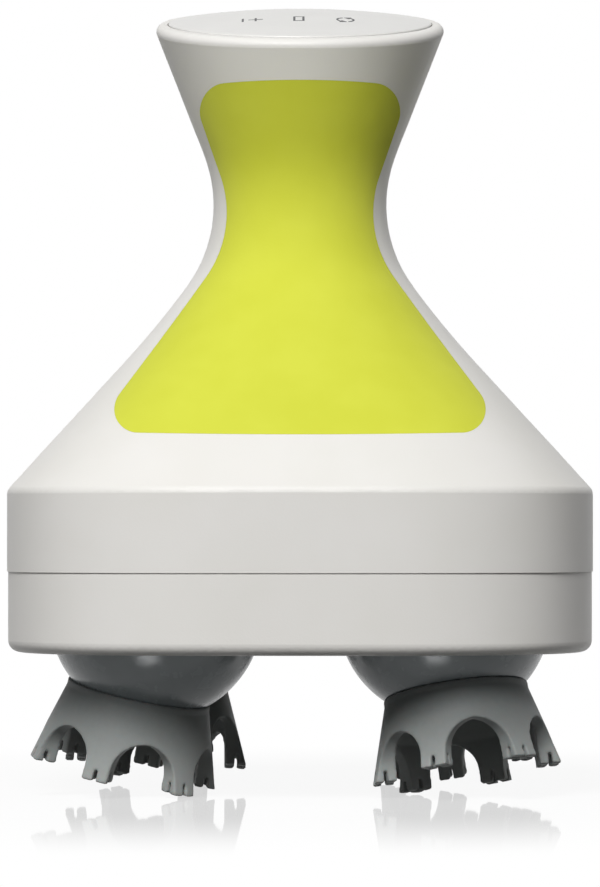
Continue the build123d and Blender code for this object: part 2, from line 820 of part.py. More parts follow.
with BuildPart() as battery_cradle:
    skirt_r = motor_r + cradle_gap + cradle_skirt_wall
    add(round_bars(skirt_r, motor_top_z - cradle_skirt_length, cradle_floor_z).part)
    skirt_low_z = motor_top_z - cradle_skirt_length
    add(round_bars(motor_r + cradle_gap, skirt_low_z - spare, motor_top_z).part, mode=Mode.SUBTRACT)
    with BuildSketch(Plane.XY.offset(motor_top_z)):
        with Locations(*terminal_spots):
            Rectangle(terminal_thickness + 4 * lead_r, terminal_width + 2 * lead_r)
    extrude(amount=cradle_base, mode=Mode.SUBTRACT)
    with BuildSketch(Plane.XY.offset(cradle_floor_z)):
        Circle(cell_r + cradle_gap + cradle_wall)
        Circle(cell_r + cradle_gap, mode=Mode.SUBTRACT)
        with Locations((0, -skirt_r)):
            Rectangle(cradle_opening, 2 * skirt_r, mode=Mode.SUBTRACT)
    extrude(amount=cradle_share * (cell_top_z - cell_z))
save(battery_cradle, "battery_cradle")

with BuildPart() as battery_cell:
    add(round_bars(cell_r, cell_z, cell_top_z - tab_thickness * 2).part)
    fillet(battery_cell.edges().filter_by(GeomType.CIRCLE), cell_edge_round)
    add(round_bars(cell_cap_r, cell_top_z - tab_thickness * 2, cell_top_z).part)
save(battery_cell, "battery_cell")

low_tab_reach = cell_r + cradle_gap + cradle_wall + lead_r * 2
with BuildPart() as battery_tabs:
    with BuildSketch(Plane.XY.offset(cradle_floor_z)):
        with Locations((0, (tab_width - low_tab_reach) / 2)):
            Rectangle(tab_width, tab_width + low_tab_reach)
    extrude(amount=tab_thickness)
    with BuildSketch(Plane.XY.offset(cell_top_z)):
        Rectangle(tab_width * 2, tab_width)
    extrude(amount=tab_thickness)
save(battery_tabs, "battery_tabs")

with BuildPart() as motor_shaft:
    add(round_bars(motor_shaft_r, motor_shaft_low_z, motor_base_z + motor_shaft_depth).part)
save(motor_shaft, "motor_shaft")


# ---------------------------------------------------------------------- leads

def bend_radii(points):
    """The largest bends that the runs on both sides of each corner leave room for."""
    spots = [Vector(*point) for point in points]
    radii = []
    for before, corner, after in zip(spots, spots[1:], spots[2:]):
        turn = radians((corner - before).get_angle(after - corner))
        shorter = min((corner - before).length, (after - corner).length)
        radii.append(0.45 * shorter / tan(turn / 2))
    return radii


def lead(points):
    """An insulated wire along straight runs joined by bends."""
    with BuildPart() as wire:
        with BuildLine() as path:
            FilletPolyline(*points, radius=bend_radii(points))
        with BuildSketch(Plane(origin=path.line @ 0, z_dir=path.line % 0)):
            Circle(lead_r)
        sweep()
    return wire


terminal_top_z = motor_top_z + terminal_height
outer_x = terminal_x + lead_r / 2
with BuildPart() as motor_leads:
    for side in (-1, 1):
        stops = [(side * (outer_x + out), back, neck_z + rise) for rise, out, back in motor_lead_stops]
        end = board_under(side * (outer_x + motor_lead_end), 0)
        add(lead([(side * outer_x, 0, terminal_top_z), *stops, end]).part)
save(motor_leads, "motor_leads")

low_tab_y = -low_tab_reach + lead_r
with BuildPart() as battery_leads:
    stops = [(out, low_tab_y + back, neck_z + rise) for rise, out, back in battery_lead_stops]
    end = board_under(0, low_tab_y + battery_lead_end)
    add(lead([(0, low_tab_y, cell_z), *stops, end]).part)
    high_tab_x = tab_width - lead_r
    add(round_bars(lead_r, cell_top_z + tab_thickness, board_under(0, 0)[2], [(high_tab_x, 0)]).part)
save(battery_leads, "battery_leads")

# -------------------------------------------------------------------- chassis

bush_r = spindle_r + running_gap + bush_wall

with BuildPart() as bearing_plate:
    add(round_bars(plate_disc_r, bearing_plate_z, bearing_plate_top).part)
    for radius, spots in (
        (bush_r + fixed_gap, head_spots),
        (screw_r + screw_gap, pillar_spots),
        (sun_axle_r + fixed_gap, [(0, 0)]),
    ):
        add(bores(radius, bearing_plate_z, bearing_plate_top, spots).part, mode=Mode.SUBTRACT)
save(bearing_plate, "bearing_plate")

with BuildPart() as motor_plate:
    add(round_bars(plate_disc_r, motor_plate_z, motor_plate_top).part)
    for radius, spots in (
        (bush_r + fixed_gap, head_spots),
        (screw_r + screw_gap, pillar_spots),
        (motor_boss_r + fixed_gap, [(0, 0)]),
        (motor_screw_r + screw_gap, motor_screw_spots),
        (idler_pin_r + fixed_gap, [(0, idler_y)]),
    ):
        add(bores(radius, motor_plate_z, motor_plate_top, spots).part, mode=Mode.SUBTRACT)
save(motor_plate, "motor_plate")

with BuildPart() as plate_pillars:
    add(round_bars(pillar_r, bearing_plate_top, motor_plate_z, pillar_spots).part)
    for low_z, high_z in (
        (bearing_plate_top - spare, chassis_screw_reach + tip_room),
        (motor_plate_top - plate_screw_length - tip_room, motor_plate_z + spare),
    ):
        add(round_bars(screw_r + fixed_gap, low_z, high_z, pillar_spots).part, mode=Mode.SUBTRACT)
save(plate_pillars, "plate_pillars")

plate_screws = screws(
    screw_r,
    screw_head_r,
    motor_plate_top,
    motor_plate_top + screw_head,
    motor_plate_top - plate_screw_length,
    pillar_spots,
)
save(plate_screws, "plate_screws")

with BuildPart() as spindle_bushes:
    for low_z, flange_z in (
        (bearing_plate_z, bearing_plate_top),
        (motor_plate_z, motor_plate_z - bush_flange_thickness),
    ):
        add(round_bars(bush_r, low_z, low_z + bearing_plate_thickness, head_spots).part)
        add(round_bars(bush_r + bush_flange, flange_z, flange_z + bush_flange_thickness, head_spots).part)
    add(bores(spindle_r + running_gap, bearing_plate_z, motor_plate_top, head_spots).part, mode=Mode.SUBTRACT)
save(spindle_bushes, "spindle_bushes")

with BuildPart() as shaft_seals:
    seal_low_z = bearing_plate_z - seal_thickness
    add(round_bars(seal_r, seal_low_z, bearing_plate_z, head_spots).part)
    add(bores(spindle_r + seal_inner_gap, seal_low_z, bearing_plate_z, head_spots).part, mode=Mode.SUBTRACT)
save(shaft_seals, "shaft_seals")

with BuildPart() as sun_axle:
    add(round_bars(sun_axle_r, bearing_plate_z, sun_axle_top_z).part)
    add(round_bars(sun_axle_r + sun_axle_collar, bearing_plate_top, output_gear_z - screw_gap).part)
    add(round_bars(sun_axle_r + sun_axle_head, bearing_plate_z - axle_head_thickness, bearing_plate_z).part)
save(sun_axle, "sun_axle")

with BuildPart() as idler_pin:
    add(round_bars(idler_pin_r, idler_pin_low_z, motor_plate_top, [(0, idler_y)]).part)
    for low_z in (motor_plate_top, idler_pin_low_z):
        add(round_bars(idler_pin_head_r, low_z, low_z + axle_head_thickness, [(0, idler_y)]).part)
save(idler_pin, "idler_pin")

# ---------------------------------------------------------------------- gears

def gear(teeth, module, shift, low_z, width, turn, spot=(0, 0)):
    """A spur gear with involute flanks and one tooth's middle at turn, in degrees."""
    pitch_r = teeth * module / 2
    base_r = pitch_r * cos(pressure)
    tip_r = pitch_r + module * (1 - tip_relief + shift)
    root_r = pitch_r - module * (1.25 - shift)
    start_r = max(base_r, root_r)
    half_tooth = (pi / 2 + 2 * shift * tan(pressure)) / teeth - backlash / 4 / pitch_r
    half_base = half_tooth + tan(pressure) - pressure

    def flank(radius, side, middle):
        lean = acos(min(base_r / radius, 1.0))
        angle = middle + side * (half_base - tan(lean) + lean)
        return (spot[0] + radius * cos(angle), spot[1] + radius * sin(angle))

    def root(side, middle):
        angle = middle + side * half_base
        return (spot[0] + root_r * cos(angle), spot[1] + root_r * sin(angle))

    radii = [start_r + (tip_r - start_r) * i / 3 for i in range(4)]
    pitch_turn = 2 * pi / teeth
    with BuildPart() as wheel:
        with BuildSketch(Plane.XY.offset(low_z)):
            with BuildLine():
                for i in range(teeth):
                    middle = radians(turn) + i * pitch_turn
                    rise = [flank(radius, -1, middle) for radius in radii]
                    fall = [flank(radius, 1, middle) for radius in reversed(radii)]
                    next_start = flank(start_r, -1, middle + pitch_turn)
                    if root_r < base_r:
                        Line(root(-1, middle), rise[0])
                        Line(fall[-1], root(1, middle))
                        Line(root(1, middle), root(-1, middle + pitch_turn))
                    else:
                        Line(fall[-1], next_start)
                    Spline(*rise)
                    Line(rise[-1], fall[0])
                    Spline(*fall)
            make_face()
        extrude(amount=width)
    return wheel


def meshed_turn(turn, teeth, direction, mate_teeth):
    """Turn of a mate that puts its tooth in a gap of a gear, seen in a direction from it."""
    lead_in = (direction - turn) * teeth / 360
    return direction + 180 - (0.5 - lead_in) * 360 / mate_teeth


with BuildPart() as sun_gear:
    add(gear(sun_teeth, output_module, 0, output_gear_z, output_gear_width, 0).part)
    add(gear(sun_large_teeth, idler_module, -pinion_shift, idler_mesh_z, idler_mesh_width, 0).part)
    add(round_bars(sun_hub_r, output_gear_z, idler_mesh_z).part)
    add(bores(sun_axle_r + running_gap, output_gear_z, sun_axle_top_z).part, mode=Mode.SUBTRACT)
save(sun_gear, "sun_gear")

small_turn = meshed_turn(0, sun_large_teeth, 90, idler_small_teeth)
idler_spot = (0, idler_y)
with BuildPart() as idler_gear:
    small_gear = gear(
        idler_small_teeth, idler_module, pinion_shift, idler_mesh_z, idler_mesh_width, small_turn, idler_spot
    )
    add(small_gear.part)
    add(gear(idler_teeth, motor_module, -pinion_shift, motor_mesh_z, motor_mesh_width, 0, idler_spot).part)
    add(round_bars(idler_hub_r, idler_mesh_z, motor_mesh_z, [idler_spot]).part)
    add(bores(idler_pin_r + running_gap, idler_mesh_z, motor_plate_z, [idler_spot]).part, mode=Mode.SUBTRACT)
save(idler_gear, "idler_gear")

with BuildPart() as motor_pinion:
    pinion_turn = meshed_turn(0, idler_teeth, -90, motor_teeth)
    add(gear(motor_teeth, motor_module, pinion_shift, motor_mesh_z, motor_mesh_width, pinion_turn).part)
    add(bores(motor_shaft_r + fixed_gap, motor_mesh_z, motor_plate_z).part, mode=Mode.SUBTRACT)
save(motor_pinion, "motor_pinion")

# ---------------------------------------------------------------------- heads
# One head is made over the origin with its claw leaning towards +X, then each
# is turned and set in its place. Each claw sits on its key a number of steps
# round from the first.

lean = radians(head_tilt)
claw_plane = Plane(
    origin=(0, 0, head_z), x_dir=(cos(lean), 0, sin(lean)), z_dir=(sin(lean), 0, -cos(lean))
)
claw_side = Plane(origin=claw_plane.origin, x_dir=claw_plane.x_dir, z_dir=(0, 1, 0))
claw_axis = Axis(claw_plane.origin, claw_plane.z_dir)
claw_start = collar_along + claw_gap
claw_end = collar_along + claw_length
roof_low = claw_start + claw_roof
arch_top = claw_end - arch_height
key_r = claw_screw_head_r * 2
key_height = claw_roof / 2


def skirt_r(along):
    """Outer radius of the claw's cone at a length along its axis."""
    return claw_collar_r + (claw_toe_r - claw_collar_r) * (along - claw_start) / (claw_end - claw_start)


leg_planes = []
for leg in range(claw_legs):
    leg_angle = radians(leg_turn + leg * 360 / claw_legs)
    outward = claw_plane.x_dir * cos(leg_angle) + claw_plane.y_dir * sin(leg_angle)
    sideways = claw_plane.y_dir * cos(leg_angle) - claw_plane.x_dir * sin(leg_angle)
    leg_planes.append(Plane(origin=claw_plane.origin, x_dir=sideways, z_dir=outward))

with BuildPart() as claw_blank:
    with BuildSketch(claw_side):
        with BuildLine():
            bead_r = claw_collar_r + claw_bead
            inner_r = skirt_r(arch_top) - claw_wall
            Polyline(
                (0, claw_start),
                (bead_r, claw_start),
                (bead_r, claw_start + claw_bead_length),
                (skirt_r(claw_start + claw_bead_length), claw_start + claw_bead_length),
                (claw_toe_r, claw_end),
                (claw_toe_r - claw_toe_thickness, claw_end),
                (inner_r, arch_top),
                (skirt_r(roof_low) - claw_wall - claw_corner, roof_low),
                (0, roof_low),
                (0, claw_start),
            )
        make_face()
    revolve(axis=claw_axis)

with BuildPart() as leg_star:
    with BuildSketch(*leg_planes):
        with BuildLine():
            side_x = leg_half + leg_flare_r
            spring_z = arch_top + leg_flare_r
            for side in (-1, 1):
                Line((side * leg_half, claw_end + spare), (side * leg_half, spring_z))
                flare_mid = leg_flare_r * (1 - sqrt(0.5))
                ThreePointArc(
                    (side * leg_half, spring_z),
                    (side * (leg_half + flare_mid), arch_top + flare_mid),
                    (side * side_x, arch_top),
                )
                Line((side * side_x, arch_top), (side * claw_toe_r, arch_top))
                Line((side * claw_toe_r, arch_top), (side * claw_toe_r, claw_start - spare))
            Line((-leg_half, claw_end + spare), (leg_half, claw_end + spare))
            Line((-claw_toe_r, claw_start - spare), (claw_toe_r, claw_start - spare))
        make_face()
    extrude(amount=claw_toe_r + spare)

with BuildPart() as claw_body:
    add(claw_blank.part)
    add(leg_star.part, mode=Mode.INTERSECT)
    # Crossed slits part each finger's end into four nubs
    with BuildSketch(claw_plane.offset(claw_end - slit_depth)):
        mid_r = claw_toe_r - claw_toe_thickness / 2
        Circle(mid_r + slit_width / 2)
        Circle(mid_r - slit_width / 2, mode=Mode.SUBTRACT)
    extrude(amount=slit_depth + spare, mode=Mode.SUBTRACT)
    with BuildSketch(claw_plane.offset(claw_end - slit_depth)):
        for leg in range(claw_legs):
            with Locations(Location((0, 0, 0), (0, 0, leg_turn + leg * 360 / claw_legs))):
                Rectangle(claw_toe_r + spare, slit_width, align=(Align.MIN, Align.CENTER))
    extrude(amount=slit_depth + spare, mode=Mode.SUBTRACT)
    with BuildSketch(claw_plane.offset(claw_start)):
        RegularPolygon(key_r + claw_gap, key_sides)
    extrude(amount=key_height + claw_gap, mode=Mode.SUBTRACT)
    with BuildSketch(claw_plane.offset(claw_start)):
        Circle(claw_screw_r + screw_gap)
    extrude(amount=claw_roof, mode=Mode.SUBTRACT)

with BuildPart() as ball_hollow:
    with Locations((0, 0, head_z)):
        Sphere(ball_r - ball_wall)
    split(bisect_by=Plane.XY.offset(ball_hollow_low_z), keep=Keep.TOP)
    split(bisect_by=claw_plane.offset(collar_along - ball_wall), keep=Keep.BOTTOM)
    add(round_bars(ball_boss_r, base_bottom_z - ball_r, ball_top_z + ball_r).part, mode=Mode.SUBTRACT)

with BuildPart() as ball_body:
    with Locations((0, 0, head_z)):
        Sphere(ball_r)
    split(bisect_by=Plane.XY.offset(ball_top_z), keep=Keep.BOTTOM)
    split(bisect_by=claw_plane.offset(collar_along), keep=Keep.BOTTOM)
    add(ball_hollow.part, mode=Mode.SUBTRACT)
    with BuildSketch(claw_plane.offset(collar_along)):
        RegularPolygon(key_r, key_sides)
    extrude(amount=key_height)
    spindle_bore_z = spindle_low_z - fixed_gap
    add(round_bars(spindle_r + fixed_gap, spindle_bore_z, ball_top_z + spare).part, mode=Mode.SUBTRACT)
    with BuildSketch(claw_plane.offset(claw_screw_tip - screw_gap)):
        Circle(claw_screw_r + fixed_gap)
    extrude(amount=collar_along, mode=Mode.SUBTRACT)

with BuildPart() as claw_screw_body:
    with BuildSketch(claw_plane.offset(claw_screw_tip)):
        Circle(claw_screw_r)
    extrude(amount=roof_low - claw_screw_tip)
    with BuildSketch(claw_plane.offset(roof_low)):
        Circle(claw_screw_head_r)
    extrude(amount=claw_screw_head)
    with BuildSketch(claw_plane.offset(roof_low + claw_screw_head)):
        Rectangle(claw_screw_head_r * recess_length_share, claw_screw_head_r * recess_width_share)
        Rectangle(claw_screw_head_r * recess_width_share, claw_screw_head_r * recess_length_share)
    extrude(amount=-claw_screw_head / 2, mode=Mode.SUBTRACT)

spindle_top_z = motor_plate_top + spindle_flange_lift
for name, (x_sign, y_sign) in head_signs.items():
    x, y = head_offset * x_sign, head_offset * y_sign
    direction = degrees(atan2(y, x))
    claw = claw_body.part.rotate(claw_axis, claw_steps[name] * 360 / key_sides)
    for body, piece in ((claw, "claw"), (ball_body.part, "ball_hub"), (claw_screw_body.part, "claw_screw")):
        with BuildPart() as placed:
            with Locations(Location((x, y, 0), (0, 0, head_turns[name]))):
                add(body)
        save(placed, f"{piece}_{name}")
    with BuildPart() as spindle:
        add(round_bars(spindle_r, spindle_low_z, spindle_top_z, [(x, y)]).part)
        add(round_bars(spindle_flange_r, spindle_top_z, spindle_top_z + spindle_flange, [(x, y)]).part)
    save(spindle, f"spindle_{name}")
    with BuildPart() as output_gear:
        gear_turn = meshed_turn(0, sun_teeth, direction, output_teeth)
        add(gear(output_teeth, output_module, 0, output_gear_z, output_gear_width, gear_turn, (x, y)).part)
        add(round_bars(bush_r + bush_flange, output_gear_z, idler_mesh_z, [(x, y)]).part)
        add(bores(spindle_r + fixed_gap, output_gear_z, idler_mesh_z, [(x, y)]).part, mode=Mode.SUBTRACT)
    save(output_gear, f"output_gear_{name}")

# ------------------------------------------------------------------- charging

with BuildPart() as charge_socket:
    with BuildSketch(bed_plane):
        RectangleRounded(socket_width, socket_height, socket_height * 0.3)
    extrude(amount=-socket_length)
    with BuildSketch(bed_plane):
        RectangleRounded(
            socket_width - 2 * socket_wall, socket_height - 2 * socket_wall, socket_height * 0.3 - socket_wall
        )
    extrude(amount=socket_back - socket_length, mode=Mode.SUBTRACT)
    with BuildSketch(bed_plane.offset(socket_back - socket_length)):
        Rectangle(socket_tongue_width, socket_tongue)
    extrude(amount=socket_length - socket_back - plug_stem_length - plug_gap * 2)
save(charge_socket, "charge_socket")

with BuildPart() as charge_plug:
    with BuildSketch(bed_plane.offset(plug_gap)):
        Rectangle(plug_width, plug_height)
    extrude(amount=plug_thickness)
    upper_corners = charge_plug.edges().filter_by(Axis.Y).group_by(Axis.Z)[-1]
    fillet(upper_corners, plug_corner_r)
    lower_edges = charge_plug.edges().filter_by(Axis.X).group_by(Axis.Z)[0]
    fillet(lower_edges, plug_thickness / 2 - fixed_gap)
    with BuildSketch(bed_plane.offset(plug_gap)):
        Rectangle(plug_stem_width, plug_stem_height)
    extrude(amount=-plug_gap - plug_stem_length)
    with BuildSketch(plug_pin_plane):
        Circle(plug_pin_r)
    extrude(amount=plug_width / 2 + plug_gap + plug_pin_length - running_gap, both=True)
save(charge_plug, "charge_plug")

socket_rear_y = bed_y - socket_length
over_plate_z = motor_plate_top + overlap
with BuildPart() as charge_leads:
    for side in (-1, 1):
        lead_x = side * (socket_width / 2 - lead_r - socket_wall)
        lead_path = [
            (lead_x, socket_rear_y + lead_r, socket_z + socket_height / 2),
            (lead_x, cavity_half(over_plate_z) - charge_lead_clearance, over_plate_z),
        ]
        for rise, spread, inward in charge_lead_stops:
            z = neck_z + rise
            lead_path.append((lead_x * spread, cavity_half(z) - inward, z))
        lead_path.append(board_under(lead_x, charge_lead_end_y))
        add(lead(lead_path).part)
save(charge_leads, "charge_leads")
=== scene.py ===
import json
from math import cos, pi, radians, sin, sqrt

import bmesh
import bpy
from mathutils import Matrix, Vector


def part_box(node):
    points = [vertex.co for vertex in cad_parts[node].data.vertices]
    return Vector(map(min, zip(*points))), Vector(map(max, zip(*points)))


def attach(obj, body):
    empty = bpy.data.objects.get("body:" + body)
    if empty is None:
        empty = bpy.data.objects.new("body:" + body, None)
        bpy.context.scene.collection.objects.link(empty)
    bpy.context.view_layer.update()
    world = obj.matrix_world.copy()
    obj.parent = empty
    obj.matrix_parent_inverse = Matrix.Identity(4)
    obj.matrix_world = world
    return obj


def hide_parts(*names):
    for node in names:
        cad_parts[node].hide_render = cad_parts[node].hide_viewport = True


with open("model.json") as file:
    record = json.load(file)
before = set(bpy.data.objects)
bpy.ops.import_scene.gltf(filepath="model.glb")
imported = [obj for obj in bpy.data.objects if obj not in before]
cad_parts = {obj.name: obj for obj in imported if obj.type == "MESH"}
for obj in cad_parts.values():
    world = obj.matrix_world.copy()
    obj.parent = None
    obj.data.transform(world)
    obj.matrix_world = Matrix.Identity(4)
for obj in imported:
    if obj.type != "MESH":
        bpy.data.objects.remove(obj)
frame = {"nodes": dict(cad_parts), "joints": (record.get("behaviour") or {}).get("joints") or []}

# The dressed scalp massager. Lengths are in metres, written as millimetres
# times MM. The front is at -Y, +Z is up and the floor is at 0.
MM = 0.001
scene = bpy.context.scene
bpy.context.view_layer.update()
nodes = frame["nodes"]
heads = ("fl", "fr", "rl", "rr")

# Control plate: it rocks on a pin that lies below its middle and runs from its
# front to its back
rock_joint = next(joint for joint in frame["joints"] if joint["name"] == "control_rock")
pin_depth = 2.9 * MM
plate_radius = 23.65 * MM
plate_edge_top = 0.3 * MM
plate_crown = 1.8 * MM

# Printed icons on the plate: places to the right of its middle and a common
# distance in front of it, lengths from front to back, widths across. An arrow's
# size is a share of the oval's half width.
icon_forward = 8.4 * MM
icon_stroke = 0.38 * MM
ink_thickness = 0.03 * MM
bar_steps = 8
minus_right = -10.2 * MM
minus_length = 3.4 * MM
plus_right = -7.9 * MM
plus_width = 2.6 * MM
battery_right = -0.2 * MM
battery_width = 2.0 * MM
battery_length = 4.9 * MM
turn_right = 8.1 * MM
turn_width = 3.3 * MM
turn_length = 4.8 * MM
turn_gap = radians(40)
turn_steps = 20
arrow_size = 0.5
arrow_corners = 3
oval_merge = 0.001

# Silicone claws: the joints lie on the spindles, and each claw leans from the
# upright, one way in plan. Its ends are softened more than the rest.
claw_merge = 0.001 * MM
claw_voxel = 0.22 * MM
claw_soften_rounds = 7
soften_share = 0.5
claw_lean = radians(13.5)
claw_turns = {"fl": 151.0, "fr": -55.0, "rl": -100.0, "rr": 35.0}
ball_middle = 32.0 * MM
nub_start = 26.5 * MM
nub_soften_rounds = 3

# The claws' silicone is painted darkest above one height and palest below another: painted shade under the
# housing's overhang, lifting towards the toes. Its bloom has a share in the tone, and the rest comes from
# the height.
painted_shade_full_height = 19 * MM
painted_shade_clear_height = 2 * MM
bloom_share = 0.12

# How much rougher a turned metal is in the grooves of its rings
ring_roughness = 0.12

# Camera and stage. The floor mirrors and takes a shadow near the object alone:
# both fade out between the near and the far distance from its middle.
camera_place = Vector((0.0, -1.0, 0.047))
camera_aim = Vector((0.0, 0.0, 0.0619))
camera_lens = 226.5
sky_light = 0.09
floor_half = 60.0
floor_tone = 0.9
mirror_near = 0.085
mirror_far = 0.21
mirror_strength = 0.3
mirror_roughness = 0.03
shadow_strength = 0.1


# ------------------------------------------------------------ shader helpers

def linear(code):
    """The linear colour of an sRGB hex code."""
    channels = [int(code[i:i + 2], 16) / 255 for i in (1, 3, 5)]
    bent = [c / 12.92 if c <= 0.04045 else ((c + 0.055) / 1.055) ** 2.4 for c in channels]
    return (*bent, 1.0)


def add_node(tree, kind, values=None, links=None, **settings):
    """Adds a shader node with its settings, the values of its sockets and the links into them."""
    node = tree.nodes.new(f"ShaderNode{kind}")
    for name, value in settings.items():
        setattr(node, name, value)
    for socket, value in (values or {}).items():
        node.inputs[socket].default_value = value
    for socket, output in (links or {}).items():
        tree.links.new(output, node.inputs[socket])
    return node


def new_finish(name, **values):
    """A material, its node tree, its shader with plain values set, and Object coordinates."""
    material = bpy.data.materials.new(name)
    material.use_nodes = True
    tree = material.node_tree
    shader = tree.nodes["Principled BSDF"]
    for socket, value in values.items():
        shader.inputs[socket.replace("_", " ")].default_value = value
    place = add_node(tree, "TexCoord").outputs["Object"]
    return material, tree, shader, place


def lumps(tree, place, size, detail=2.0, roughness=0.5):
    """Noise with lumps of a size in metres."""
    return add_node(
        tree,
        "TexNoise",
        values={"Scale": 1 / size, "Detail": detail, "Roughness": roughness},
        links={"Vector": place},
    ).outputs["Fac"]


def raise_surface(tree, shader, height, depth):
    """Bumps a shader by a height between 0 and 1 that stands for a depth in metres."""
    bump = add_node(tree, "Bump", values={"Strength": 1.0, "Distance": depth}, links={"Height": height})
    tree.links.new(bump.outputs["Normal"], shader.inputs["Normal"])


def fade_between(tree, distance, start, end, from_value, to_value):
    """Goes smoothly from one value to another as a distance goes from start to end."""
    values = {"From Min": start, "From Max": end, "To Min": from_value, "To Max": to_value}
    links = {"Value": distance}
    fade = add_node(tree, "MapRange", values=values, links=links, interpolation_type="SMOOTHSTEP")
    return fade.outputs["Result"]


def shade_between(tree, shader, socket, factor, low, high, span=(0.3, 0.7)):
    """Drives a shader's socket from low to high as a factor crosses a span."""
    ramp = add_node(tree, "ValToRGB", links={"Fac": factor})
    stops = ramp.color_ramp.elements
    stops[0].position, stops[1].position = span
    stops[0].color, stops[1].color = low, high
    tree.links.new(ramp.outputs["Color"], shader.inputs[socket])


def grey(value):
    """The grey of a linear value, opaque."""
    return (value, value, value, 1.0)


def colour_between(tree, shader, factor, dark, light, **ramp):
    """Drives a shader's colour between two sRGB hex codes."""
    shade_between(tree, shader, "Base Color", factor, linear(dark), linear(light), **ramp)


def roughness_between(tree, shader, factor, smooth, rough, **ramp):
    """Drives a shader's roughness between two values."""
    shade_between(tree, shader, "Roughness", factor, grey(smooth), grey(rough), **ramp)


# ----------------------------------------------------------------- materials

def moulded_white_abs():
    """White ABS from a spark-eroded mould: a satin face with a fine even grain."""
    material, tree, shader, place = new_finish("moulded_white_abs", Roughness=0.5, IOR=1.53)
    colour_between(tree, shader, lumps(tree, place, 14 * MM), "#EAE8E3", "#EDEBE7")
    grain = lumps(tree, place, 0.35 * MM, detail=3.0)
    roughness_between(tree, shader, grain, 0.46, 0.54)
    raise_surface(tree, shader, grain, 0.012 * MM)
    return material


def soft_touch_lime():
    """ABS under a soft-touch lacquer: a velvety lime skin with a very faint orange peel."""
    material, tree, shader, place = new_finish(
        "soft_touch_lime", Roughness=0.8, IOR=1.4, Sheen_Weight=0.1, Sheen_Roughness=0.5
    )
    colour_between(tree, shader, lumps(tree, place, 9 * MM), "#D6DB40", "#DADF46")
    peel = lumps(tree, place, 0.6 * MM, detail=2.0)
    raise_surface(tree, shader, peel, 0.01 * MM)
    return material


def satin_control_abs():
    """White ABS from a finer mould: smoother and a little glossier than the housing."""
    material, tree, shader, place = new_finish("satin_control_abs", IOR=1.53)
    colour_between(tree, shader, lumps(tree, place, 8 * MM), "#DFDEDB", "#E2E1DE")
    grain = lumps(tree, place, 0.3 * MM)
    roughness_between(tree, shader, grain, 0.32, 0.4)
    raise_surface(tree, shader, grain, 0.006 * MM)
    return material


def polished_grey_abs():
    """Grey ABS from a polished mould: glossy, with faint flow streaks and hairline rubs."""
    material, tree, shader, place = new_finish("polished_grey_abs", IOR=1.5)
    colour_between(tree, shader, lumps(tree, place, 6 * MM), "#8D9598", "#929A9D")
    rubs = lumps(tree, place, 2.5 * MM, detail=4.0)
    roughness_between(tree, shader, rubs, 0.2, 0.3)
    raise_surface(tree, shader, lumps(tree, place, 3 * MM), 0.01 * MM)
    return material


def matte_grey_silicone():
    """Moulded silicone rubber: matte, a little see-through at its thin edges, with a dusty bloom and
    painted shade that darkens it towards the neck.
    """
    material, tree, shader, place = new_finish(
        "matte_grey_silicone",
        IOR=1.41,
        Sheen_Weight=0.12,
        Sheen_Roughness=0.6,
        Subsurface_Weight=0.15,
        Subsurface_Scale=0.8 * MM,
    )
    bloom = lumps(tree, place, 1.2 * MM, detail=4.0)
    # Painted shade: the silicone is darker towards the neck, which the housing overhangs, and paler towards
    # the lit toes
    height = add_node(tree, "SeparateXYZ", links={0: place}).outputs["Z"]
    painted_shade_lift = fade_between(tree, height, painted_shade_full_height, painted_shade_clear_height, 0.0, 1 - bloom_share)
    tone = add_node(
        tree, "Math", values={1: bloom_share}, links={0: bloom, 2: painted_shade_lift}, operation="MULTIPLY_ADD"
    ).outputs[0]
    span = (bloom_share / 2, 1 - bloom_share / 2)
    # The dark grey is painted shade at the neck and the pale grey is the lit toes; the bloom mottles both
    colour_between(tree, shader, tone, "#565A59", "#A0A4A2", span=span)
    roughness_between(tree, shader, bloom, 0.55, 0.7)
    raise_surface(tree, shader, lumps(tree, place, 0.25 * MM), 0.012 * MM)
    return material


def black_rubber():
    """Black nitrile or silicone rubber: soft, matte and slightly dusty."""
    material, tree, shader, place = new_finish("black_rubber", IOR=1.5)
    dust = lumps(tree, place, 1.5 * MM, detail=4.0)
    colour_between(tree, shader, dust, "#1B1C1D", "#262728")
    roughness_between(tree, shader, dust, 0.6, 0.75)
    raise_surface(tree, shader, lumps(tree, place, 0.3 * MM), 0.01 * MM)
    return material


def pale_silicone():
    """Pale grey silicone cord of the gasket, close to the housing's own tone: matte and smooth."""
    material, tree, shader, place = new_finish("pale_silicone", IOR=1.41)
    bloom = lumps(tree, place, 1.5 * MM, detail=3.0)
    colour_between(tree, shader, bloom, "#D6D4D0", "#DEDCD8")
    roughness_between(tree, shader, bloom, 0.5, 0.62)
    raise_surface(tree, shader, lumps(tree, place, 0.3 * MM), 0.008 * MM)
    return material


def natural_abs():
    """Unpainted ivory ABS of the inner parts: satin, with ejector haze."""
    material, tree, shader, place = new_finish("natural_abs", IOR=1.53)
    haze = lumps(tree, place, 6 * MM, detail=3.0)
    colour_between(tree, shader, haze, "#D9D4C5", "#E0DCCF")
    roughness_between(tree, shader, haze, 0.38, 0.5)
    raise_surface(tree, shader, lumps(tree, place, 0.5 * MM), 0.01 * MM)
    return material


def acetal():
    """White acetal gears: waxy, smooth and slightly see-through."""
    material, tree, shader, place = new_finish(
        "acetal", IOR=1.48, Subsurface_Weight=0.1, Subsurface_Scale=1 * MM
    )
    haze = lumps(tree, place, 4 * MM)
    colour_between(tree, shader, haze, "#E7E6DF", "#EFEEE9")
    roughness_between(tree, shader, haze, 0.28, 0.36)
    raise_surface(tree, shader, lumps(tree, place, 0.4 * MM), 0.006 * MM)
    return material


